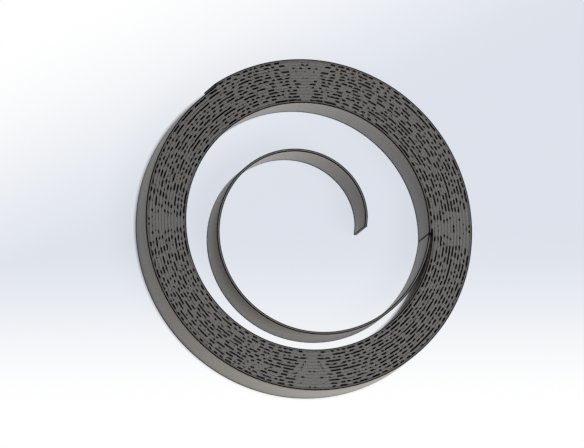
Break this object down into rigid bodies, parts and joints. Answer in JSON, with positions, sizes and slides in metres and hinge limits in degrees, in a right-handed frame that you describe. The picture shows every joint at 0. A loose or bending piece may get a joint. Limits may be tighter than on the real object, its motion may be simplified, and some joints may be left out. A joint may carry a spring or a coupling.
{
  "type": "spiral power spring",
  "caption": "Flat spiral power spring: one steel strip wound on edge into a close round pack, with a free inner turn that leaves it at a crease and ends near the axis.",
  "frame": {"origin": "on the winding axis, at the lower edge face on which the spring lies", "axes": "+Z along the winding axis, up from the face on which it lies; +X towards the crease where the free turn leaves the pack"},
  "size_m": [0.0673, 0.0675, 0.009],
  "materials": {
    "spring_steel": "satin dark grey, hardened and tempered cold-rolled strip with slit edges"
  },
  "bodies": {
    "root": {"spring_strip": "spring_steel"}
  },
  "joints": []
}
